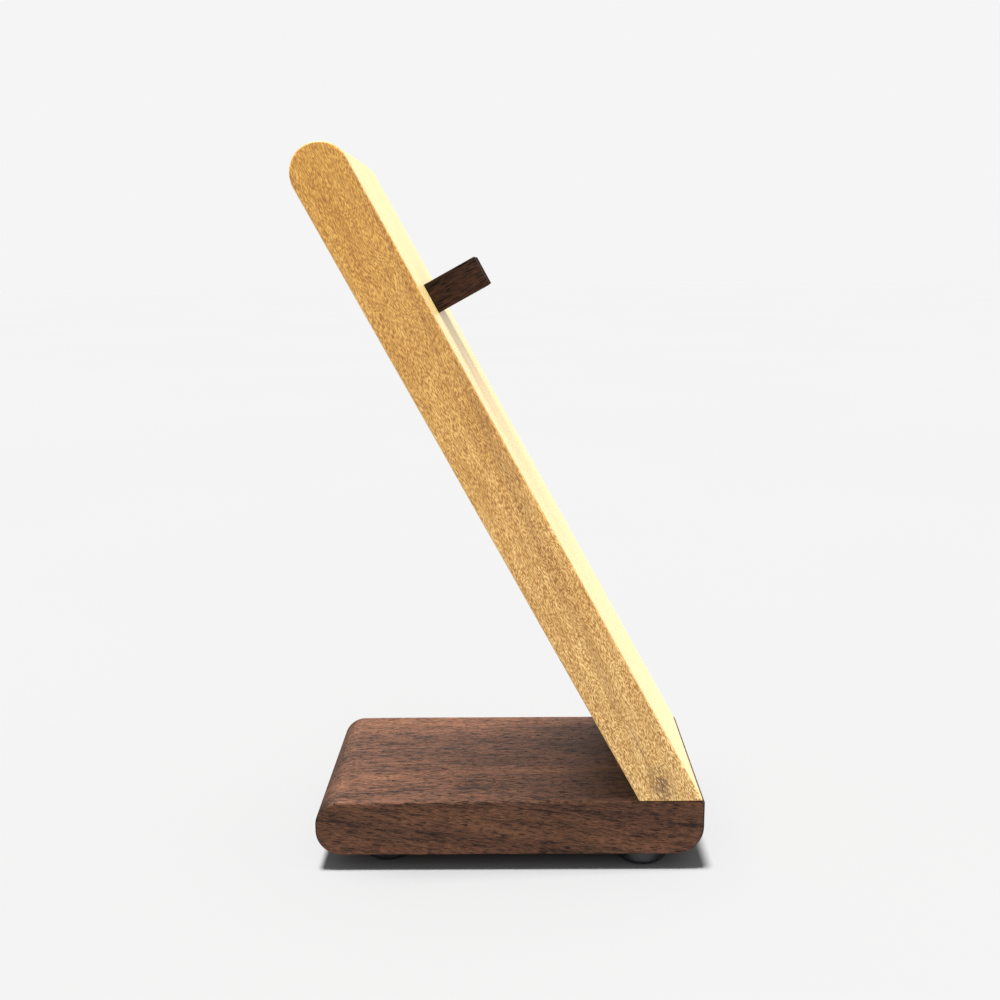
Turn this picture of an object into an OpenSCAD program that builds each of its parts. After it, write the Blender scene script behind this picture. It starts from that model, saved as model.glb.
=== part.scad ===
// Safety razor stand: a back board leaning on a short base block, with a small
// notched fork that holds a razor by its neck. +X is the front, where the fork
// points, +Z is up, and the origin is on the floor below the middle of the stand.

/* [Base block] */
// Length of the base block, front to rear
base_l = 89.4; // [80:0.1:120]
// Width of the stand, the same for the base block and the back board
stand_w = 50.8; // [46:0.1:70]
// Thickness of the base block
base_t = 13.2; // [12:0.1:16]
// Radius of both rounded corners at the rear end
rear_r = 5.9; // [2:0.1:5.9]
// Radius of the rounded lower corner at the front end
front_r = 6.6; // [2:0.1:6.6]

/* [Back board] */
// Thickness of the back board
board_t = 12.8; // [12:0.1:14]
// Length of the front face, from its lower edge to where the top rounding starts
board_l = 161; // [150:0.1:200]
// Lean of the board away from upright, in degrees
board_lean = 28.2; // [15:0.1:30]
// Distance of the front face's lower edge behind the base block's front end
board_set = 0.5; // [0:0.1:1]

/* [Fork] */
// Height of the fork's lower face above the board's lower edge, along the board
fork_s = 124.5; // [60:0.1:130]
// Height of the fork, along the board
fork_h = 7; // [6.5:0.1:12]
// Distance that the fork stands out from the board
fork_d = 12.8; // [12:0.1:20]
// Width of the fork, across the board
fork_w = 21; // [20:0.1:30]
// Width of the notch for the razor's neck
notch_w = 11; // [9:0.1:11]
// Wood left between the board and the bottom of the notch
notch_web = 6; // [6:0.1:6.5]

/* [Edges] */
// Radius of the sanded long edges of the wooden pieces
edge_r = 0.6; // [0.2:0.1:1]

/* [Feet] */
// Height of the rubber feet
foot_h = 3.8; // [2:0.1:6]
// Radius of a foot
foot_r = 6.3; // [4:0.1:6.3]
// Radius of the rounding at the bottom of a foot
foot_edge_r = 1.6; // [0.5:0.1:1.8]
// Distance of the front feet's centres from the front end
foot_front_x = 13.7; // [13.4:0.1:20]
// Distance of the rear feet's centres from the rear end
foot_rear_x = 15.9; // [13:0.1:20]
// Distance of the front feet's centres from the middle plane
foot_front_y = 17.9; // [17.5:0.1:18.5]
// Distance of the rear feet's centres from the middle plane
foot_rear_y = 15.5; // [12:0.1:18]

/* [Screws] */
// Length of a base screw, head included
screw_l = 25.4; // [22:0.1:26]
// Radius of the screw's thread crests and of its plain shank
screw_r = 1.75; // [1.5:0.05:1.75]
// Distance of the screws from the front end
screw_x = 11.3; // [10.8:0.1:11.8]
// Distance of each screw from the middle plane
screw_y = 6.5; // [4:0.1:6.5]

/* [Dowels] */
// Radius of a fork dowel
dowel_r = 2; // [1.5:0.05:2]
// Depth of a dowel in the back board
dowel_in_board = 9; // [6:0.1:10]
// Depth of a dowel in the fork
dowel_in_fork = 5; // [4:0.1:5.2]
// Distance of each dowel from the middle plane
dowel_y = 6; // [3:0.1:7]

/* [Hidden] */
$fn = 64;

// Base block, on its feet
front_x = base_l / 2;
base_z = foot_h;
base_top = base_z + base_t;

// Screw: countersunk head with a cross recess, plain shank, thread and point
screw_head_r = 3.45;
screw_head_h = 2.2;
screw_sink = 0.3;
screw_root_r = 1.2;
screw_plain_l = 8;
screw_pitch = 1.4;
screw_point_l = 3;
screw_turns = floor((screw_l - screw_plain_l - screw_point_l) / screw_pitch);
cross_l = 3.6;
cross_w = 0.8;
cross_depth = 1.5;
screw_z = base_z + screw_sink;

// Room round a screw or dowel, and past its end
fit_gap = 0.05;
end_gap = 0.5;
shank_gap = 0.2;
// Overshoot that carries a cut through a face
cut = 1;

// Rectangle with four rounded corners, centred
module eased_rect(size_x, size_y, r) {
    square([size_x - 2 * r, size_y], center = true);
    square([size_x, size_y - 2 * r], center = true);
    for (x = [-1, 1], y = [-1, 1])
        translate([x * (size_x / 2 - r), y * (size_y / 2 - r)])
            circle(r);
}

// Side profile drawn in X and Z, made as wide as the stand
module across_stand() {
    rotate([90, 0, 0])
        linear_extrude(height = stand_w, center = true)
            children();
}

// The back board's own frame: +X out of its front face, +Z up along that face,
// and the origin at the middle of the face's lower edge
module on_board() {
    translate([front_x - board_set, 0, base_top])
        rotate([0, -board_lean, 0])
            children();
}

// One copy on each side of the middle plane: side is 1 for left, -1 for right
module at_sides(y) {
    for (side = [-1, 1])
        translate([0, side * y, 0])
            children();
}

module base_profile() {
    for (z = [rear_r, base_t - rear_r])
        translate([rear_r, z])
            circle(rear_r);
    translate([0, rear_r])
        square([base_l / 2, base_t - 2 * rear_r]);
    translate([rear_r, 0])
        square([base_l - rear_r - front_r, base_t]);
    translate([base_l / 2, front_r])
        square([base_l / 2, base_t - front_r]);
    translate([base_l - front_r, front_r])
        circle(front_r);
}

// Hole for one screw, measured from the underside of the base block: a
// countersink, then a clearance hole through the block
module base_screw_hole() {
    sink_h = screw_sink + screw_head_h;
    sink_gap = 0.15;
    translate([0, 0, -cut])
        cylinder(r = screw_r + shank_gap, h = base_t + 2 * cut);
    translate([0, 0, screw_sink])
        cylinder(r1 = screw_head_r + sink_gap, r2 = screw_r + shank_gap, h = screw_head_h);
    translate([0, 0, -cut])
        cylinder(r = screw_head_r + sink_gap, h = screw_sink + cut);
}

module base_block() {
    color("#5c3b2c")
        difference() {
            intersection() {
                translate([-front_x, 0, base_z])
                    across_stand()
                        base_profile();
                translate([0, 0, base_z + base_t / 2])
                    rotate([0, 90, 0])
                        linear_extrude(height = base_l + 2 * cut, center = true)
                            eased_rect(base_t, stand_w, edge_r);
            }
            translate([front_x - screw_x, 0, base_z])
                at_sides(screw_y)
                    base_screw_hole();
        }
}

// Front face, round top end, rear face and level foot, in the board's own frame
module board_profile() {
    rear_s = board_t * tan(board_lean);
    polygon([[0, 0], [0, board_l], [-board_t, board_l], [-board_t, rear_s]]);
    translate([-board_t / 2, board_l])
        circle(board_t / 2);
}

// Hole for both dowels of the fork, along the board's own X
module dowel_holes(depth_in, depth_out) {
    translate([-depth_in - end_gap, 0, fork_s + fork_h / 2])
        at_sides(dowel_y)
            rotate([0, 90, 0])
                cylinder(r = dowel_r + fit_gap, h = depth_in + depth_out + 2 * end_gap);
}

module back_board() {
    color("#d8b079")
        difference() {
            on_board()
                difference() {
                    intersection() {
                        across_stand()
                            board_profile();
                        translate([-board_t / 2, 0, -cut])
                            linear_extrude(height = board_l + board_t + cut)
                                eased_rect(board_t, stand_w, edge_r);
                    }
                    dowel_holes(dowel_in_board, cut);
                }
            translate([front_x - screw_x, 0, base_top - cut])
                at_sides(screw_y)
                    cylinder(r = screw_r + fit_gap, h = cut + screw_z + screw_l + end_gap - base_top);
        }
}

module razor_fork() {
    notch_r = notch_w / 2;
    notch_x = notch_web + notch_r;
    color("#4a2e24")
        on_board()
            difference() {
                translate([0, 0, fork_s + fork_h / 2])
                    rotate([0, 90, 0])
                        linear_extrude(height = fork_d)
                            eased_rect(fork_h, fork_w, edge_r);
                translate([notch_x, 0, fork_s - cut])
                    cylinder(r = notch_r, h = fork_h + 2 * cut);
                translate([notch_x, -notch_r, fork_s - cut])
                    cube([fork_d - notch_x + cut, notch_w, fork_h + 2 * cut]);
                dowel_holes(cut, dowel_in_fork);
            }
}

// Round bumper foot with its lower edge rounded, standing on the floor
module foot(x, y) {
    color("#2b2d31")
        translate([x, y, 0])
            rotate_extrude()
                union() {
                    square([foot_r - foot_edge_r, foot_h]);
                    translate([0, foot_edge_r])
                        square([foot_r, foot_h - foot_edge_r]);
                    translate([foot_r - foot_edge_r, foot_edge_r])
                        circle(foot_edge_r);
                }
}

module foot_front_left() { foot(front_x - foot_front_x, foot_front_y); }
module foot_front_right() { foot(front_x - foot_front_x, -foot_front_y); }
module foot_rear_left() { foot(foot_rear_x - front_x, foot_rear_y); }
module foot_rear_right() { foot(foot_rear_x - front_x, -foot_rear_y); }

// Half section of a wood screw standing on its head, its thread cut as rings
module screw_section() {
    thread_z = screw_plain_l;
    point_z = thread_z + screw_turns * screw_pitch;
    rings = [
        for (i = [0 : screw_turns - 1], step = [[0, screw_root_r], [0.4, screw_r], [0.6, screw_r]])
            [step[1], thread_z + (i + step[0]) * screw_pitch]
    ];
    polygon(concat(
        [[0, 0], [screw_head_r, 0], [screw_r, screw_head_h], [screw_r, thread_z - screw_pitch / 2]],
        rings,
        [[screw_root_r, point_z], [0, screw_l]]
    ));
}

module base_screw(side) {
    color("#b9bcc0")
        translate([front_x - screw_x, side * screw_y, screw_z])
            difference() {
                rotate_extrude()
                    screw_section();
                for (turn = [0, 90])
                    rotate([0, 0, turn])
                        translate([-cross_l / 2, -cross_w / 2, -cut])
                            cube([cross_l, cross_w, cross_depth + cut]);
            }
}

module base_screw_left() { base_screw(1); }
module base_screw_right() { base_screw(-1); }

module fork_dowel(side) {
    color("#e2cda2")
        on_board()
            translate([-dowel_in_board, side * dowel_y, fork_s + fork_h / 2])
                rotate([0, 90, 0])
                    cylinder(r = dowel_r, h = dowel_in_board + dowel_in_fork);
}

module fork_dowel_left() { fork_dowel(1); }
module fork_dowel_right() { fork_dowel(-1); }

base_block();
back_board();
razor_fork();
foot_front_left();
foot_front_right();
foot_rear_left();
foot_rear_right();
base_screw_left();
base_screw_right();
fork_dowel_left();
fork_dowel_right();
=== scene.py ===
"""Looks of the razor stand: maple board, walnut base and fork, rubber feet, screws and dowels.

Lengths are in metres, and in millimetres inside the materials. Sizes named in part.scad are repeated here
where a piece needs them, and places come from the boxes of the CAD nodes.
"""
import math

import bmesh
import bpy
from mathutils import Matrix, Vector, noise


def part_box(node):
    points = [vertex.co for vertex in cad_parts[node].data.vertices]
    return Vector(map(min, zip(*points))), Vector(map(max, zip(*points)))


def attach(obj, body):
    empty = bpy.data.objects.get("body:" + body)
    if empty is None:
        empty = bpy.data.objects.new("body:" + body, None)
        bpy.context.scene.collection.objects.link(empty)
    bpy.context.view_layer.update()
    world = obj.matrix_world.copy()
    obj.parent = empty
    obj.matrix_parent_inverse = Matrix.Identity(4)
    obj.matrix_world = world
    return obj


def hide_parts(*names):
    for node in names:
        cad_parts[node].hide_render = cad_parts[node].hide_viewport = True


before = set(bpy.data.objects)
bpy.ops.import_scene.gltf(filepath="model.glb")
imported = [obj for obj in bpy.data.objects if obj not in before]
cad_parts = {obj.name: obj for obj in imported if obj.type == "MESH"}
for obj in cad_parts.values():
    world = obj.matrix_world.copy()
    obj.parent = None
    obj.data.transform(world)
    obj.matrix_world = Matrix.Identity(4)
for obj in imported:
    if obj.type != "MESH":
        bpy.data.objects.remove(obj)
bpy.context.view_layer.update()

MM = 0.001

# ---------------------------------------------------------------- sizes

BOARD_LEAN = math.radians(28.2)
BOARD_L = 161.0 * MM
BOARD_T = 12.8 * MM
BOARD_SET = 0.5 * MM
REAR_R = 5.9 * MM
FRONT_R = 6.6 * MM
FORK_S = 124.5 * MM
FORK_H = 7.0 * MM
FORK_D = 12.8 * MM
FORK_W = 21.0 * MM
NOTCH_W = 11.0 * MM
NOTCH_WEB = 6.0 * MM
DOWEL_R = 2.0 * MM
DOWEL_IN_BOARD = 9.0 * MM
DOWEL_IN_FORK = 5.0 * MM
DOWEL_Y = 6.0 * MM
SCREW_R = 1.75 * MM
SCREW_ROOT_R = 1.2 * MM
SCREW_HEAD_R = 3.45 * MM
SCREW_HEAD_H = 2.2 * MM
SCREW_PLAIN_L = 8.0 * MM
SCREW_POINT_L = 3.0 * MM
SCREW_PITCH = 1.4 * MM
# Length, width and depth of a cross slot's cutter, outside the head and at the slot's floor
CROSS_TOP = Vector((3.8, 0.95, -0.3)) * MM
CROSS_FLOOR = Vector((2.0, 0.5, 1.5)) * MM
FOOT_EDGE_R = 1.6 * MM
FIT_GAP = 0.05 * MM
END_GAP = 0.5 * MM
SHANK_GAP = 0.2 * MM
SINK_GAP = 0.15 * MM
CUT = 1.0 * MM
# Too short to see: it keeps two full roundings apart, and points closer than this are joined
HAIR = 0.002 * MM

base_low, base_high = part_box("base_block")
base_l = base_high.x - base_low.x
base_t = base_high.z - base_low.z
stand_w = base_high.y - base_low.y
screw_low, screw_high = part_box("base_screw_left")
screw_l = screw_high.z - screw_low.z
screw_x = (screw_low.x + screw_high.x) / 2
screw_y = (screw_low.y + screw_high.y) / 2

# The board's own frame: +X out of its front face, +Z up along that face, and the
# origin at the middle of the face's lower edge.
board_origin = Vector((base_high.x - BOARD_SET, 0, base_high.z))
out_of_board = Vector((math.cos(BOARD_LEAN), 0, math.sin(BOARD_LEAN)))
up_board = Vector((-math.sin(BOARD_LEAN), 0, math.cos(BOARD_LEAN)))
ON_BOARD = Matrix.Translation(board_origin) @ Matrix.Rotation(-BOARD_LEAN, 4, "Y")
X_AXIS = Vector((1, 0, 0))
Y_AXIS = Vector((0, 1, 0))
Z_AXIS = Vector((0, 0, 1))


# ---------------------------------------------------------------- meshes

pieces = []


def finish_piece(name, mesh, material, node, sharp_degrees=40):
    """Makes the object of one piece, shades it smooth, and lets it stand for its CAD node."""
    piece = bpy.data.objects.new(name, mesh)
    bpy.context.scene.collection.objects.link(piece)
    mesh.polygons.foreach_set("use_smooth", [True] * len(mesh.polygons))
    mesh.set_sharp_from_angle(angle=math.radians(sharp_degrees))
    weighted = piece.modifiers.new("even_shading", "WEIGHTED_NORMAL")
    weighted.keep_sharp = True
    mesh.materials.clear()
    mesh.materials.append(material)
    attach(piece, "root")
    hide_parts(node)
    pieces.append(piece)


def rounded_outline(corners, step=1.5 * MM, arc_step=math.radians(7.5)):
    """Points and outward normals of a counter-clockwise outline, from (x, y, corner radius) triples."""
    count = len(corners)
    points = []
    normals = []
    for i in range(count):
        corner = Vector(corners[i][:2])
        radius = corners[i][2]
        before = (corner - Vector(corners[i - 1][:2])).normalized()
        after = (Vector(corners[(i + 1) % count][:2]) - corner).normalized()
        turn = math.atan2(before.x * after.y - before.y * after.x, before.dot(after))
        reach = radius * math.tan(abs(turn) / 2)
        side = math.copysign(1, turn)
        centre = corner - before * reach + Vector((-before.y, before.x)) * radius * side
        arcs = max(2, math.ceil(abs(turn) / arc_step))
        for k in range(arcs + 1):
            angle = turn * k / arcs
            normal = Vector((before.y, -before.x))
            normal.rotate(Matrix.Rotation(angle, 2))
            points.append(centre + normal * radius * side)
            normals.append(normal)
    filled_points = []
    filled_normals = []
    for i, point in enumerate(points):
        filled_points.append(point)
        filled_normals.append(normals[i])
        gap = points[(i + 1) % len(points)] - point
        next_normal = normals[(i + 1) % len(points)]
        spans = int(gap.length / step)
        for k in range(1, spans):
            filled_points.append(point + gap * k / spans)
            filled_normals.append(normals[i].lerp(next_normal, k / spans).normalized())
    return filled_points, filled_normals


def sanded(point, base, amount, length, seed):
    """Radius of a hand-sanded edge at a point: base, and up to about amount more or less along it."""
    sway = noise.noise(Vector((point.x, point.y, seed)) / length)
    return base + amount * sway


def eased_prism(name, outline, width, ease, place, wave=0.03 * MM, across=14, rings=4):
    """Closed solid of an outline made width wide, with both rims rounded by hand-sanded edges.

    outline is (points, normals) in the piece's X and Z. ease(point) gives the rim's radius there.
    place is the matrix that puts the piece where it belongs, and wave is how uneven its faces are.
    """
    wave_length = 22 * MM
    points, normals = outline
    mesh = bpy.data.meshes.new(name)
    form = bmesh.new()
    edge_layer = form.verts.layers.float.new("edge")
    rows = []
    stations = []
    for k in range(rings + 1):
        stations.append((-1, 1 - k / rings))
    for k in range(1, across):
        stations.append((k / across * 2 - 1, None))
    for k in range(rings + 1):
        stations.append((1, k / rings))
    for side, part in stations:
        row = []
        for point, normal in zip(points, normals):
            radius = ease(point)
            if part is None:
                inset = 0
                y = side * (width / 2 - radius)
            else:
                angle = part * math.pi / 2
                inset = radius * (1 - math.cos(angle))
                y = side * (width / 2 - radius + radius * math.sin(angle))
            spot = Vector((point.x - normal.x * inset, y, point.y - normal.y * inset))
            ripple = noise.noise(spot / wave_length) * wave
            spot += Vector((normal.x, 0, normal.y)) * ripple
            vertex = form.verts.new(spot)
            vertex[edge_layer] = 0.0 if part is None else 1.0
            row.append(vertex)
        rows.append(row)
    count = len(points)
    for row, following in zip(rows, rows[1:]):
        for i in range(count):
            j = (i + 1) % count
            form.faces.new((row[i], row[j], following[j], following[i]))
    form.faces.new(list(reversed(rows[0])))
    form.faces.new(rows[-1])
    bmesh.ops.remove_doubles(form, verts=form.verts, dist=HAIR)
    bmesh.ops.recalc_face_normals(form, faces=form.faces)
    form.transform(place)
    form.to_mesh(mesh)
    form.free()
    return mesh


def lathe(name, profile, place, sides=96):
    """Closed solid of revolution about its own Z.

    profile holds (radius, height) pairs, and its first and last are on the axis.
    """
    mesh = bpy.data.meshes.new(name)
    form = bmesh.new()
    rows = []
    for radius, height in profile:
        if radius == 0:
            rows.append([form.verts.new((0, 0, height))])
            continue
        row = []
        for k in range(sides):
            angle = 2 * math.pi * k / sides
            row.append(form.verts.new((radius * math.cos(angle), radius * math.sin(angle), height)))
        rows.append(row)
    for row, following in zip(rows, rows[1:]):
        for k in range(sides):
            j = (k + 1) % sides
            corners = [row[k % len(row)], row[j % len(row)]]
            corners += [following[j % len(following)], following[k % len(following)]]
            face = list(dict.fromkeys(corners))
            if len(face) > 2:
                form.faces.new(face)
    bmesh.ops.recalc_face_normals(form, faces=form.faces)
    form.transform(place)
    form.to_mesh(mesh)
    form.free()
    return mesh


def carve(mesh, cutters):
    """The mesh with the cutter meshes taken out of it."""
    body = bpy.data.objects.new("body_to_carve", mesh)
    bpy.context.scene.collection.objects.link(body)
    tools = []
    for cutter in cutters:
        tool = bpy.data.objects.new("cutter", cutter)
        bpy.context.scene.collection.objects.link(tool)
        cut = body.modifiers.new("cut", "BOOLEAN")
        cut.operation = "DIFFERENCE"
        cut.solver = "EXACT"
        cut.object = tool
        tools.append(tool)
    graph = bpy.context.evaluated_depsgraph_get()
    carved = bpy.data.meshes.new_from_object(body.evaluated_get(graph), depsgraph=graph)
    carved.name = mesh.name + "_carved"
    for item in [body] + tools:
        old = item.data
        bpy.data.objects.remove(item)
        bpy.data.meshes.remove(old)
    return carved


def arc(centre_r, centre_z, radius, start, end, steps=8):
    """(radius, height) pairs along an arc of a lathe profile, with start and end in degrees."""
    pairs = []
    for k in range(steps + 1):
        angle = math.radians(start + (end - start) * k / steps)
        pairs.append((centre_r + radius * math.cos(angle), centre_z + radius * math.sin(angle)))
    return pairs


# ---------------------------------------------------------------- material helpers

class Tree:
    """Short-hand for one material's nodes."""

    def __init__(self, name):
        self.material = bpy.data.materials.new(name)
        self.material.use_nodes = True
        self.nodes = self.material.node_tree.nodes
        self.links = self.material.node_tree.links
        self.nodes.clear()
        self.shader = self.add("ShaderNodeBsdfPrincipled")
        output = self.add("ShaderNodeOutputMaterial")
        self.links.new(self.shader.outputs[0], output.inputs["Surface"])

    def add(self, kind, **settings):
        made = self.nodes.new(kind)
        for key, value in settings.items():
            setattr(made, key, value)
        return made

    def feed(self, socket, value):
        """Links a node's output, or sets a plain value."""
        if isinstance(value, bpy.types.NodeSocket):
            self.links.new(value, socket)
        else:
            socket.default_value = value

    def math(self, operation, a, b=0.0, c=0.0, clamp=False):
        made = self.add("ShaderNodeMath", operation=operation, use_clamp=clamp)
        for socket, value in zip(made.inputs, (a, b, c)):
            self.feed(socket, value)
        return made.outputs[0]

    def vector(self, operation, a, b=(0, 0, 0)):
        made = self.add("ShaderNodeVectorMath", operation=operation)
        self.feed(made.inputs[0], a)
        self.feed(made.inputs[1], b)
        return made.outputs["Value"] if operation in ("DOT_PRODUCT", "LENGTH") else made.outputs["Vector"]

    def noise(self, where, scale=1.0, detail=2.0, roughness=0.5, distortion=0.0):
        made = self.add("ShaderNodeTexNoise")
        self.feed(made.inputs["Vector"], where)
        made.inputs["Scale"].default_value = scale
        made.inputs["Detail"].default_value = detail
        made.inputs["Roughness"].default_value = roughness
        made.inputs["Distortion"].default_value = distortion
        return made.outputs["Fac"]

    def ramp(self, factor, stops):
        """Straight blends between (position, value or colour) stops."""
        made = self.add("ShaderNodeValToRGB")
        self.feed(made.inputs[0], factor)
        ramp = made.color_ramp
        while len(ramp.elements) < len(stops):
            ramp.elements.new(0.5)
        for element, (position, value) in zip(ramp.elements, stops):
            element.position = position
            colour = value if isinstance(value, tuple) else (value, value, value)
            element.color = (*colour, 1)
        return made.outputs["Color"]

    def mix(self, factor, a, b, blend="MIX"):
        made = self.add("ShaderNodeMix", data_type="RGBA", blend_type=blend)
        self.feed(made.inputs[0], factor)
        for socket, value in ((made.inputs[6], a), (made.inputs[7], b)):
            self.feed(socket, (*value, 1) if isinstance(value, tuple) else value)
        return made.outputs[2]

    def bump(self, height, distance, strength):
        made = self.add("ShaderNodeBump")
        self.feed(made.inputs["Height"], height)
        made.inputs["Distance"].default_value = distance
        made.inputs["Strength"].default_value = strength
        return made.outputs["Normal"]

    def attribute(self, name):
        return self.add("ShaderNodeAttribute", attribute_name=name).outputs["Fac"]

    def facing(self, direction, start=0.3, full=0.95):
        """1 on surfaces square to a direction, 0 on surfaces that run along it."""
        normal = self.add("ShaderNodeNewGeometry").outputs["Normal"]
        turned = self.math("ABSOLUTE", self.vector("DOT_PRODUCT", normal, tuple(direction)))
        return self.ramp(turned, [(start, 0.0), (full, 1.0)])

    def grain_frame(self, origin, along, across, through):
        """Coordinates in millimetres with X along the grain, from an origin and three unit vectors."""
        where = self.add("ShaderNodeTexCoord").outputs["Object"]
        centred = self.vector("SUBTRACT", where, tuple(origin))
        joined = self.add("ShaderNodeCombineXYZ")
        for socket, axis in zip(joined.inputs, (along, across, through)):
            self.feed(socket, self.vector("DOT_PRODUCT", centred, tuple(Vector(axis) / MM)))
        return joined.outputs[0]

    def stretched(self, where, along, across):
        """The coordinates scaled to cycles per millimetre along and across the grain."""
        return self.vector("MULTIPLY", where, (along, across, across))

    def blob(self, where, centre, radii):
        """1 near the middle of an ellipsoid, falling to 0 at its surface."""
        offset = self.vector("SUBTRACT", where, centre)
        reach = self.vector("LENGTH", self.vector("DIVIDE", offset, radii))
        return self.ramp(reach, [(0.25, 1.0), (1.0, 0.0)])


# ---------------------------------------------------------------- materials

def walnut(name, origin, grain, layers, tilt, shade, shaded_spot):
    """Oiled black walnut: warm and grey-brown growth layers, dark streaks, open pores, worn rims.

    grain holds unit vectors along, across and through the grain. layers are (position, warmth) stops
    through the growth layers, which lean by tilt from through towards across. Position 0 is 50 mm below
    the origin and position 1 is 26 mm above it. The last argument is the (centre, radii) of an ellipsoid
    where painted shade darkens the wood, in millimetres along, across and through the grain.
    """
    below = 50
    above = 26
    span = below + above
    layer_sway = 7.0
    tree = Tree(name)
    where = tree.grain_frame(origin, *grain)
    wander = tree.noise(tree.stretched(where, 0.025, 0.09), 1.0, 3.0, 0.55)
    level = tree.vector("DOT_PRODUCT", where, (0, -tilt, 1))
    level = tree.math("MULTIPLY_ADD", wander, layer_sway, level)
    level = tree.math("MULTIPLY_ADD", level, 1 / span, (below - layer_sway / 2) / span)
    warmth = tree.ramp(level, layers)
    cloud = tree.noise(tree.stretched(where, 0.03, 0.22), 1.0, 3.0, 0.6, 0.4)
    streak = tree.noise(tree.stretched(where, 0.1, 0.95), 1.0, 4.0, 0.7, 0.2)
    fibre = tree.noise(tree.stretched(where, 0.55, 3.6), 1.0, 3.0, 0.75)
    pored = tree.noise(tree.stretched(where, 0.32, 3.0), 1.0, 2.0, 0.6)

    warm = tuple(shade * v for v in (0.169, 0.074, 0.040))
    cool = tuple(shade * v for v in (0.092, 0.042, 0.025))
    dark = tuple(shade * v for v in (0.016, 0.010, 0.008))
    colour = tree.mix(warmth, cool, warm)
    colour = tree.mix(1.0, colour, tree.ramp(cloud, [(0.3, 0.75), (0.7, 1.25)]), "MULTIPLY")
    lines = tree.ramp(streak, [(0.5, 0.0), (0.57, 0.6), (0.66, 0.95)])
    lines = tree.math("MULTIPLY", lines, tree.ramp(warmth, [(0.2, 1.0), (0.9, 0.35)]))
    colour = tree.mix(lines, colour, dark)
    tone = tree.ramp(fibre, [(0.3, 0.3), (0.5, 1.0), (0.7, 1.8)])
    colour = tree.mix(1.0, colour, tone, "MULTIPLY")
    pore = tree.ramp(pored, [(0.58, 0.0), (0.64, 1.0)])
    colour = tree.mix(tree.math("MULTIPLY", pore, 0.9), colour, tuple(0.6 * v for v in dark))

    ends = tree.math("MULTIPLY", tree.facing(grain[0]), 0.6)
    # Painted shade: darker where the board overhangs the base, and along the fork's top edge
    painted_shade = tree.math("MULTIPLY", tree.blob(where, *shaded_spot), 0.4)
    colour = tree.mix(tree.math("MAXIMUM", ends, painted_shade), colour, dark)
    edge = tree.attribute("edge")
    worn = tree.math("MULTIPLY", edge, tree.ramp(fibre, [(0.45, 0.0), (0.7, 0.2)]))
    colour = tree.mix(worn, colour, tuple(1.3 * v for v in warm))
    # Rims on the end grain are darkened, partly as darker end grain and partly as painted shade along the
    # ends' outline
    rim = tree.math("MULTIPLY", edge, tree.facing(grain[0], 0.15, 0.7))
    colour = tree.mix(tree.math("MULTIPLY", rim, 0.8), colour, dark)
    tree.feed(tree.shader.inputs["Base Color"], colour)
    gloss = tree.math("MULTIPLY_ADD", fibre, 0.22, 0.36)
    gloss = tree.math("MULTIPLY_ADD", pore, 0.3, gloss)
    gloss = tree.math("MULTIPLY_ADD", ends, 0.8, gloss, clamp=True)
    tree.feed(tree.shader.inputs["Roughness"], gloss)
    tree.shader.inputs["IOR"].default_value = 1.47
    tree.shader.inputs["Specular IOR Level"].default_value = 0.13
    height = tree.math("MULTIPLY_ADD", pore, -1.0, tree.math("MULTIPLY", fibre, 0.5))
    tree.feed(tree.shader.inputs["Normal"], tree.bump(height, 0.09 * MM, 0.8))
    return tree.material


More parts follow.
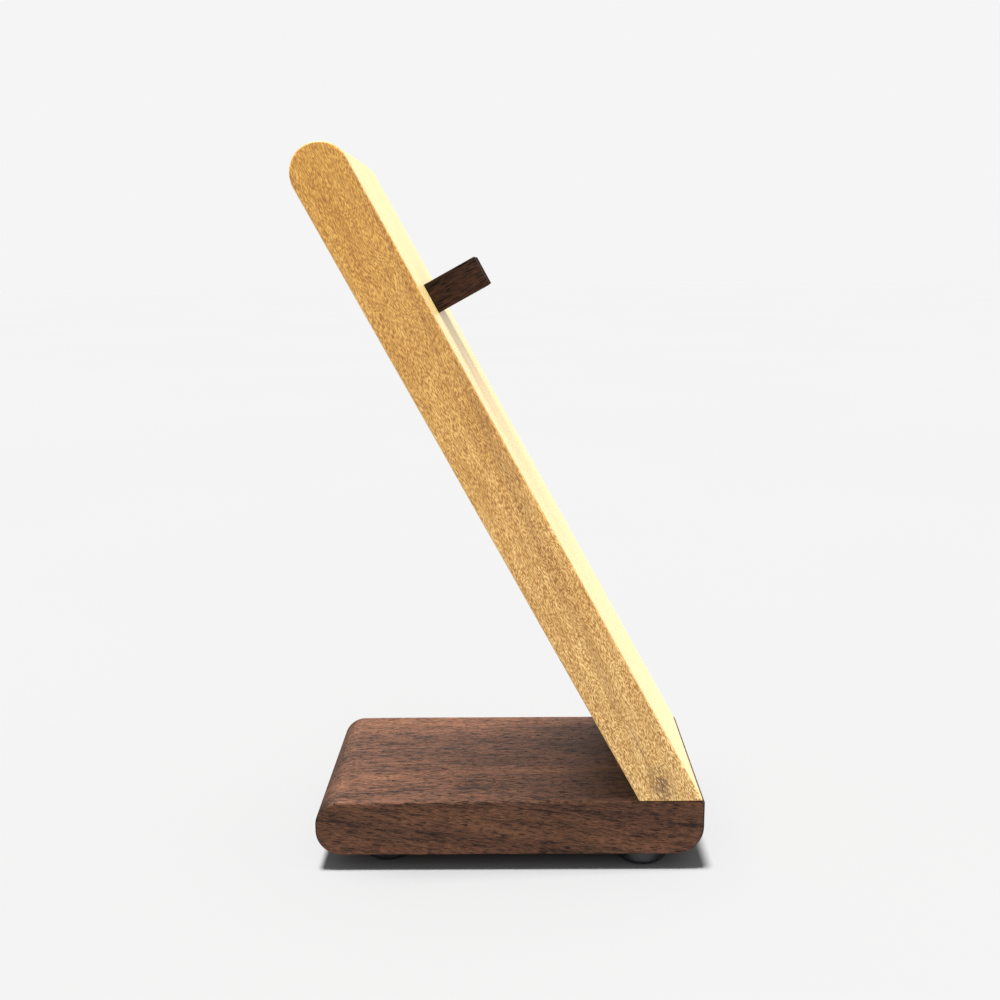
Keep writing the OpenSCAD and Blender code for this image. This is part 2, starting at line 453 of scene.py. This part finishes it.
def maple(name, origin, grain, tilt, broad):
    """Oiled hard maple: golden with fine flecks, faint growth lines, darker bands and a brown mark.

    grain holds unit vectors along, across and through the grain, and the origin is at the foot of the
    right side, on the front face. Growth lines lean by tilt. Towards the top the colour deepens, as on
    sunned maple, and the flecks fade. The faces square to broad, the flat-sawn ones, are paler with
    fainter flecks: painted light. Bands and marks have their places and radii in millimetres along,
    across and through the grain.
    """
    board_length = 168.0
    brown = (0.40, 0.19, 0.05)
    stain_brown = (0.11, 0.045, 0.015)
    tree = Tree(name)
    where = tree.grain_frame(origin, *grain)
    sway = tree.noise(tree.stretched(where, 0.06, 0.12), 1.0, 2.0)
    flowing = tree.vector("ADD", where, tree.vector("MULTIPLY", sway, (0, 6.0, 6.0)))
    fleck = tree.noise(tree.stretched(flowing, 1.15, 6.2), 1.0, 0.5, 0.5, 0.1)
    speck = tree.noise(tree.stretched(flowing, 0.45, 1.5), 1.0, 2.0, 0.5)
    mottle = tree.noise(tree.stretched(where, 0.045, 0.32), 1.0, 3.0, 0.6, 0.4)
    level = tree.vector("DOT_PRODUCT", where, (0, tilt, 1))
    wander = tree.noise(tree.stretched(where, 0.02, 0.06), 1.0, 2.0)
    level = tree.math("MULTIPLY_ADD", wander, 5.0, level)
    growth = tree.noise(level, 0.45, 3.0, 0.6)

    run = tree.math("DIVIDE", tree.vector("DOT_PRODUCT", where, (1, 0, 0)), board_length)
    colour = tree.ramp(run, [
        (0.0, (0.76, 0.475, 0.158)),
        (0.3, (0.735, 0.42, 0.117)),
        (1.0, (0.68, 0.33, 0.046)),
    ])
    shade = tree.ramp(mottle, [(0.3, (0.86, 0.79, 0.66)), (0.7, (1.1, 1.16, 1.3))])
    colour = tree.mix(1.0, colour, shade, "MULTIPLY")
    # Painted light: the broad faces are made paler, as they look in strong light
    flat = tree.facing(broad, 0.5, 0.95)
    colour = tree.mix(flat, colour, (0.68, 0.43, 0.145))
    lines = tree.ramp(growth, [(0.52, 0.0), (0.68, 0.35)])
    colour = tree.mix(lines, colour, brown)
    wide_band = tree.blob(where, (85, 0, -9.6), (48, 26, 2.4))
    low_band = tree.blob(where, (40, 0, -8.9), (26, 24, 1.2))
    band = tree.math("MAXIMUM", wide_band, low_band)
    colour = tree.mix(tree.math("MULTIPLY", band, 0.38), colour, brown)
    tone = tree.ramp(fleck, [
        (0.36, (0.56, 0.4, 0.19)),
        (0.475, (0.94, 0.88, 0.78)),
        (0.545, (1.08, 1.12, 1.18)),
        (0.64, (1.48, 1.65, 2.15)),
    ])
    # Flecks fade towards the top, and fainter on the broad faces as painted light
    contrast = tree.math("MULTIPLY_ADD", flat, -0.5, 1.0)
    contrast = tree.math("MULTIPLY_ADD", run, -0.3, contrast)
    colour = tree.mix(contrast, colour, tone, "MULTIPLY")
    grit = tree.ramp(speck, [(0.3, (0.95, 0.91, 0.83)), (0.7, (1.05, 1.08, 1.15))])
    colour = tree.mix(1.0, colour, grit, "MULTIPLY")
    vein = tree.noise(tree.stretched(where, 0.25, 0.75), 1.0, 4.0, 0.7, 0.4)
    vein = tree.math("ABSOLUTE", tree.math("SUBTRACT", vein, 0.5))
    spots = tree.ramp(vein, [(0.0, 1.0), (0.025, 0.75), (0.07, 0.1)])
    mark = tree.math("MULTIPLY", tree.blob(where, (7.6, 0, -7.2), (6.5, 4.0, 3.6)), spots)
    streak = tree.blob(where, (18.0, 0, -8.2), (8.5, 3.0, 0.3))
    stain = tree.math("MAXIMUM", mark, tree.math("MULTIPLY", streak, 0.5))
    colour = tree.mix(stain, colour, stain_brown)
    ends = tree.facing(grain[0])
    colour = tree.mix(tree.math("MULTIPLY", ends, 0.25), colour, brown)
    tree.feed(tree.shader.inputs["Base Color"], colour)
    tree.feed(tree.shader.inputs["Roughness"], tree.math("MULTIPLY_ADD", fleck, 0.2, 0.28))
    tree.shader.inputs["Coat Weight"].default_value = 0.4
    tree.shader.inputs["Coat Roughness"].default_value = 0.3
    tree.shader.inputs["Sheen Weight"].default_value = 0.22
    tree.shader.inputs["Sheen Roughness"].default_value = 0.4
    tree.shader.inputs["Sheen Tint"].default_value = (1.0, 0.97, 0.5, 1)
    tree.shader.inputs["IOR"].default_value = 1.47
    tree.shader.inputs["Specular IOR Level"].default_value = 0.5
    height = tree.math("MULTIPLY_ADD", speck, 0.5, fleck)
    tree.feed(tree.shader.inputs["Normal"], tree.bump(height, 0.08 * MM, 0.7))
    return tree.material


def birch(name, origin, grain):
    """Plain dowel wood with fibres along the dowel."""
    tree = Tree(name)
    where = tree.grain_frame(origin, *grain)
    fibre = tree.noise(tree.stretched(where, 0.3, 5.0), 1.0, 4.0, 0.6)
    colour = tree.ramp(fibre, [
        (0.3, (0.50, 0.34, 0.17)),
        (0.5, (0.70, 0.53, 0.32)),
        (0.72, (0.80, 0.65, 0.44)),
    ])
    tree.feed(tree.shader.inputs["Base Color"], colour)
    tree.feed(tree.shader.inputs["Roughness"], tree.math("MULTIPLY_ADD", fibre, 0.2, 0.55))
    tree.feed(tree.shader.inputs["Normal"], tree.bump(fibre, 0.05 * MM, 0.6))
    return tree.material


def rubber():
    """Dark bumper rubber, lightly dusty, with a soft sheen."""
    tree = Tree("bumper_rubber")
    where = tree.grain_frame((0, 0, 0), X_AXIS, Y_AXIS, Z_AXIS)
    dust = tree.noise(where, 0.8, 4.0, 0.6)
    grain = tree.noise(where, 9.0, 2.0, 0.5)
    colour = tree.ramp(dust, [(0.35, (0.010, 0.010, 0.012)), (0.7, (0.022, 0.022, 0.026))])
    tree.feed(tree.shader.inputs["Base Color"], colour)
    tree.feed(tree.shader.inputs["Roughness"], tree.math("MULTIPLY_ADD", dust, 0.25, 0.22))
    tree.feed(tree.shader.inputs["Normal"], tree.bump(grain, 0.02 * MM, 0.5))
    return tree.material


def steel():
    """Zinc-plated steel, turned, with fine scratches."""
    tree = Tree("screw_steel")
    where = tree.grain_frame((0, 0, 0), X_AXIS, Y_AXIS, Z_AXIS)
    cloud = tree.noise(where, 1.6, 3.0, 0.6)
    scratch = tree.noise(tree.stretched(where, 3.0, 40.0), 1.0, 2.0)
    colour = tree.ramp(cloud, [(0.3, (0.52, 0.53, 0.55)), (0.7, (0.70, 0.70, 0.69))])
    tree.feed(tree.shader.inputs["Base Color"], colour)
    tree.shader.inputs["Metallic"].default_value = 1.0
    tree.feed(tree.shader.inputs["Roughness"], tree.math("MULTIPLY_ADD", cloud, 0.3, 0.18))
    tree.feed(tree.shader.inputs["Normal"], tree.bump(scratch, 0.01 * MM, 0.4))
    return tree.material


# ---------------------------------------------------------------- the stand's own woods

def turned_grain(along, through, degrees):
    """Unit vectors along, across and through a grain that is turned from along towards through."""
    cosine = math.cos(math.radians(degrees))
    sine = math.sin(math.radians(degrees))
    return along * cosine + through * sine, Y_AXIS, through * cosine - along * sine


base_grain = turned_grain(X_AXIS, Z_AXIS, -8.2)
fork_grain = (out_of_board, Y_AXIS, up_board)
board_grain = turned_grain(up_board, out_of_board, 4.5)

base_layers = [
    (0.0, 0.75), (0.19, 0.7), (0.25, 0.25), (0.4, 0.15), (0.56, 0.3), (0.625, 0.55),
    (0.643, 1.0), (0.657, 1.0), (0.68, 0.55), (0.74, 0.45), (0.783, 0.0), (0.82, 0.55),
    (0.87, 0.45), (0.9, 0.0), (0.94, 0.45), (1.0, 0.5),
]
fork_layers = [(0.5, 0.9), (0.62, 0.5), (0.7, 1.0), (0.78, 0.3), (0.9, 0.9)]
right_foot = board_origin + Vector((0, -stand_w / 2, 0))
# Places of painted shade: on the base where the board overhangs it, and along the fork's top edge
under_board = ((72, 25, 23.7), (24, 80, 4.5))
fork_top = ((5, 25, 132.5), (14, 30, 3.5))
base_walnut = walnut(
    "walnut_base", base_low, base_grain, base_layers, tilt=1.23, shade=1.0, shaded_spot=under_board
)
fork_walnut = walnut(
    "walnut_fork", right_foot, fork_grain, fork_layers, tilt=0.4, shade=0.29, shaded_spot=fork_top
)
board_maple = maple("maple_board", right_foot, board_grain, tilt=0.8, broad=out_of_board)
dowel_birch = birch("birch_dowel", board_origin, fork_grain)
foot_rubber = rubber()
screw_steel = steel()


# ---------------------------------------------------------------- pieces


def screw_hole(side):
    """Cutter for one screw through the base and into the board, and its countersink."""
    tip = screw_high.z + END_GAP
    wide = SCREW_R + SHANK_GAP
    sink = SCREW_HEAD_R + SINK_GAP
    profile = [
        (0, base_low.z - CUT),
        (sink, base_low.z - CUT),
        (sink, screw_low.z),
        (wide, screw_low.z + SCREW_HEAD_H),
        (wide, base_high.z + CUT / 2),
        (SCREW_R + FIT_GAP, base_high.z + CUT / 2),
        (SCREW_R + FIT_GAP, tip),
        (0, tip),
    ]
    return lathe("screw_hole", profile, Matrix.Translation((screw_x, side * screw_y, 0)), sides=48)


def dowel_hole(side):
    """Cutter for one dowel, through the fork's back and into the board."""
    profile = [
        (0, -DOWEL_IN_BOARD - END_GAP),
        (DOWEL_R + FIT_GAP, -DOWEL_IN_BOARD - END_GAP),
        (DOWEL_R + FIT_GAP, DOWEL_IN_FORK + END_GAP),
        (0, DOWEL_IN_FORK + END_GAP),
    ]
    return lathe("dowel_hole", profile, dowel_place(side), sides=48)


def dowel_place(side):
    """Matrix with Z along a dowel, out of the board."""
    spot = Matrix.Translation((0, side * DOWEL_Y, FORK_S + FORK_H / 2))
    return ON_BOARD @ spot @ Matrix.Rotation(math.pi / 2, 4, "Y")


def make_base():
    """Base block: full rounding at the rear end, rounded under the front end."""
    top_front_r = 0.8 * MM
    corners = [
        (0, 0, REAR_R),
        (base_l, 0, FRONT_R),
        (base_l, base_t, top_front_r),
        (0, base_t, REAR_R),
    ]

    def ease(point):
        return sanded(point, 0.68 * MM, 0.16 * MM, 17 * MM, 0)

    place = Matrix.Translation((base_low.x, 0, base_low.z))
    mesh = eased_prism("base_block_wood", rounded_outline(corners), stand_w, ease, place)
    mesh = carve(mesh, [screw_hole(-1), screw_hole(1)])
    finish_piece("base_block_wood", mesh, base_walnut, "base_block")


def make_board():
    """Back board: full round top end, crisp level foot that sits on the base.

    The easing of a rim stays below the radius of the corners it passes, or the rim would cross itself.
    """
    rear_s = BOARD_T * math.tan(BOARD_LEAN)
    crisp = 0.25 * MM
    crisp_ease = 0.24 * MM
    softened_above = 2.5 * MM
    top = BOARD_L + BOARD_T / 2
    corners = [
        (0, 0, crisp),
        (0, top, BOARD_T / 2 - HAIR),
        (-BOARD_T, top, BOARD_T / 2 - HAIR),
        (-BOARD_T, rear_s, crisp),
    ]

    def ease(point):
        height = point.y - rear_s * -point.x / BOARD_T
        soft = min(1, max(0, height / softened_above))
        return crisp_ease * (1 - soft) + soft * sanded(point, 0.62 * MM, 0.16 * MM, 19 * MM, 4)

    mesh = eased_prism("back_board_wood", rounded_outline(corners), stand_w, ease, ON_BOARD)
    mesh = carve(mesh, [screw_hole(-1), screw_hole(1), dowel_hole(-1), dowel_hole(1)])
    finish_piece("back_board_wood", mesh, board_maple, "back_board")


def make_fork():
    """Fork with a round-bottomed notch, drawn in plan and made as high as the fork.

    The easing of a rim stays below the radius of the corners it passes, or the rim would cross itself.
    """
    half = FORK_W / 2
    notch = NOTCH_W / 2
    notch_r = notch - HAIR
    tip = 0.22 * MM
    root_ease = 0.14 * MM
    tip_ease = 0.2 * MM
    softened_past = 1.5 * MM
    corners = [
        (0, -half, tip),
        (FORK_D, -half, tip),
        (FORK_D, -notch, tip),
        (NOTCH_WEB, -notch, notch_r),
        (NOTCH_WEB, notch, notch_r),
        (FORK_D, notch, tip),
        (FORK_D, half, tip),
        (0, half, tip),
    ]

    def ease(point):
        soft = min(1, max(0, point.x / softened_past))
        return root_ease + (tip_ease - root_ease) * soft

    # Swaps Y and Z, so that the outline lies flat as a plan
    plan = Matrix(((1, 0, 0, 0), (0, 0, 1, 0), (0, 1, 0, 0), (0, 0, 0, 1)))
    place = ON_BOARD @ Matrix.Translation((0, 0, FORK_S + FORK_H / 2)) @ plan
    outline = rounded_outline(corners, step=0.7 * MM)
    mesh = eased_prism("razor_fork_wood", outline, FORK_H, ease, place, wave=0.01 * MM, across=8)
    mesh = carve(mesh, [dowel_hole(-1), dowel_hole(1)])
    finish_piece("razor_fork_wood", mesh, fork_walnut, "razor_fork")


def make_foot(node):
    """Bumper foot: slight draft, rounded lower edge, faint lip at the top."""
    low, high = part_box(node)
    radius = (high.x - low.x) / 2
    height = high.z - low.z
    middle = (low + high) / 2
    draft = 0.25 * MM
    lip = 0.12 * MM
    lip_h = 0.5 * MM
    top_r = 0.2 * MM
    inner = radius - FOOT_EDGE_R - draft
    profile = [(0, 0.0), (inner / 2, 0.0)]
    profile += arc(inner, FOOT_EDGE_R, FOOT_EDGE_R, -90, -8)
    profile += [(radius - lip, height - lip_h)]
    profile += arc(radius - top_r, height - top_r, top_r, 0, 90, 4)
    profile += [(0, height)]
    place = Matrix.Translation((middle.x, middle.y, low.z))
    mesh = lathe(node + "_rubber", profile, place)
    finish_piece(node + "_rubber", mesh, foot_rubber, node, sharp_degrees=50)


def make_dowel(side, node):
    """Fluted dowel pin with chamfered ends."""
    length = DOWEL_IN_BOARD + DOWEL_IN_FORK
    flutes = 16
    per_flute = 6
    groove = 0.12 * MM
    chamfer = 0.6 * MM
    end_share = 0.78
    stations = [(0, end_share), (chamfer, 1.0), (length - chamfer, 1.0), (length, end_share)]
    mesh = bpy.data.meshes.new(node + "_pin")
    form = bmesh.new()
    rows = []
    for height, share in stations:
        row = []
        for k in range(flutes * per_flute):
            angle = 2 * math.pi * k / (flutes * per_flute)
            dip = groove * max(0, math.cos(angle * flutes)) ** 2
            radius = (DOWEL_R - dip) * share
            row.append(form.verts.new((radius * math.cos(angle), radius * math.sin(angle), height)))
        rows.append(row)
    for row, following in zip(rows, rows[1:]):
        for k in range(len(row)):
            j = (k + 1) % len(row)
            form.faces.new((row[k], row[j], following[j], following[k]))
    form.faces.new(list(reversed(rows[0])))
    form.faces.new(rows[-1])
    form.transform(dowel_place(side) @ Matrix.Translation((0, 0, -DOWEL_IN_BOARD)))
    form.to_mesh(mesh)
    form.free()
    finish_piece(node + "_pin", mesh, dowel_birch, node)


def make_screw(side, node):
    """Countersunk wood screw with a helical thread, a point and a cross recess."""
    sides = 40
    step = 0.1 * MM
    place = Matrix.Translation((screw_x, side * screw_y, screw_low.z))
    head_edge = 0.12 * MM
    ridge_share = 0.32
    crest_flat = 1.2
    point_fullness = 1.15
    tip_r = 0.05 * MM
    head = [(SCREW_HEAD_R - head_edge, 0.0), (SCREW_HEAD_R, head_edge), (SCREW_R, SCREW_HEAD_H)]
    stations = []
    height = SCREW_HEAD_H + step
    while height < screw_l - step:
        stations.append(height)
        height += step

    def radius_at(height, angle):
        if height < SCREW_PLAIN_L:
            return SCREW_R
        point = min(1, (screw_l - height) / SCREW_POINT_L)
        start = min(1, (height - SCREW_PLAIN_L) / SCREW_PITCH)
        turn = (height / SCREW_PITCH - angle / (2 * math.pi)) % 1
        ridge = max(0, 1 - abs(turn - 0.5) / ridge_share)
        root = SCREW_ROOT_R * point + tip_r
        crest = max(root, SCREW_R * min(1, point * point_fullness))
        threaded = root + (crest - root) * min(1, ridge * crest_flat)
        return SCREW_R * (1 - start) + threaded * start

    mesh = bpy.data.meshes.new(node + "_thread")
    form = bmesh.new()
    rows = []
    for radius, height in head:
        rows.append([(radius, height)] * sides)
    for height in stations:
        rows.append([(radius_at(height, 2 * math.pi * k / sides), height) for k in range(sides)])
    rings = []
    for row in rows:
        ring = []
        for k, (radius, height) in enumerate(row):
            angle = 2 * math.pi * k / sides
            ring.append(form.verts.new((radius * math.cos(angle), radius * math.sin(angle), height)))
        rings.append(ring)
    for ring, following in zip(rings, rings[1:]):
        for k in range(sides):
            j = (k + 1) % sides
            form.faces.new((ring[k], ring[j], following[j], following[k]))
    form.faces.new(list(reversed(rings[0])))
    point = form.verts.new((0, 0, screw_l))
    for k in range(sides):
        form.faces.new((rings[-1][k], rings[-1][(k + 1) % sides], point))
    bmesh.ops.recalc_face_normals(form, faces=form.faces)
    form.transform(place)
    form.to_mesh(mesh)
    form.free()
    mesh = carve(mesh, [cross_wing(place, 0), cross_wing(place, 90)])
    finish_piece(node + "_turned", mesh, screw_steel, node, sharp_degrees=30)


def cross_wing(place, degrees):
    """Cutter for one slot of the cross recess, which narrows with depth."""
    mesh = bpy.data.meshes.new("cross_wing")
    form = bmesh.new()
    bmesh.ops.create_cube(form, size=1)
    for vertex in form.verts:
        length, width, height = CROSS_FLOOR if vertex.co.z > 0 else CROSS_TOP
        vertex.co = Vector((vertex.co.x * length, vertex.co.y * width, height))
    form.transform(place @ Matrix.Rotation(math.radians(degrees), 4, "Z"))
    form.to_mesh(mesh)
    form.free()
    return mesh


make_base()
make_board()
make_fork()
for foot_node in ("foot_front_left", "foot_front_right", "foot_rear_left", "foot_rear_right"):
    make_foot(foot_node)
for side, hand in ((1, "left"), (-1, "right")):
    make_dowel(side, "fork_dowel_" + hand)
    make_screw(side, "base_screw_" + hand)


# ---------------------------------------------------------------- stage, light and camera

SKY = 0.913
FLOOR_WASH = 5.0


def make_floor():
    """Plain pale floor, so wide that its edge lies on the horizon.

    Its grey is the one that sky and floor wash together make as bright as the sky behind it.
    """
    grey = SKY / (SKY + FLOOR_WASH)
    mesh = bpy.data.meshes.new("floor")
    form = bmesh.new()
    bmesh.ops.create_circle(form, cap_ends=True, segments=96, radius=8)
    form.to_mesh(mesh)
    form.free()
    ground = bpy.data.objects.new("floor", mesh)
    bpy.context.scene.collection.objects.link(ground)
    tree = Tree("pale_floor")
    where = tree.add("ShaderNodeTexCoord").outputs["Object"]
    cloud = tree.noise(where, 3.0, 3.0)
    colour = tree.ramp(cloud, [(0.3, 0.993 * grey), (0.7, 1.007 * grey)])
    tree.feed(tree.shader.inputs["Base Color"], colour)
    tree.shader.inputs["Roughness"].default_value = 0.9
    tree.shader.inputs["Specular IOR Level"].default_value = 0.0
    mesh.materials.append(tree.material)
    return ground


def add_light(name, direction, strength, spread, receivers):
    """Distant soft light from a direction, with its spread in degrees, on the receivers only."""
    lamp = bpy.data.lights.new(name, "SUN")
    lamp.energy = strength * math.pi
    lamp.angle = math.radians(spread)
    holder = bpy.data.objects.new(name, lamp)
    bpy.context.scene.collection.objects.link(holder)
    holder.rotation_euler = Vector(direction).to_track_quat("Z", "Y").to_euler()
    holder.light_linking.receiver_collection = receivers


def make_camera():
    """Camera at the height of the fork, looking slightly down at the stand's right side."""
    place = Matrix.Translation((0.001938, -0.269273, 0.137126))
    pitch = Matrix.Rotation(math.radians(90 - 11.545), 4, "X")
    yaw = Matrix.Rotation(math.radians(0.770), 4, "Z")
    roll = Matrix.Rotation(math.radians(-0.606), 4, "Z")
    data = bpy.data.cameras.new("camera")
    data.sensor_width = 36
    data.lens = 41.509
    data.clip_start = 0.01
    camera = bpy.data.objects.new("camera", data)
    bpy.context.scene.collection.objects.link(camera)
    camera.matrix_world = place @ yaw @ pitch @ roll
    bpy.context.scene.camera = camera


floor = make_floor()
make_camera()
# Each lamp lights the stand or the floor, so that the floor is plain and the shadow stays short
stand_only = bpy.data.collections.new("stand_only")
for piece in pieces:
    stand_only.objects.link(piece)
floor_only = bpy.data.collections.new("floor_only")
floor_only.objects.link(floor)
add_light("overhead", (0, 0.1, 1), 1.0, 30, stand_only)
add_light("front_key", (0.8, 0.15, 0.6), 0.2, 50, stand_only)
add_light("rear_fill", (-0.29, 0.12, 0.95), 1.2, 24, stand_only)
add_light("floor_wash", (-0.08, -0.05, 1), FLOOR_WASH, 11, floor_only)
world = bpy.data.worlds.new("studio")
world.use_nodes = True
world.node_tree.nodes["Background"].inputs["Color"].default_value = (1, 1, 1, 1)
world.node_tree.nodes["Background"].inputs["Strength"].default_value = SKY
bpy.context.scene.world = world
bpy.context.scene.view_settings.view_transform = "Standard"
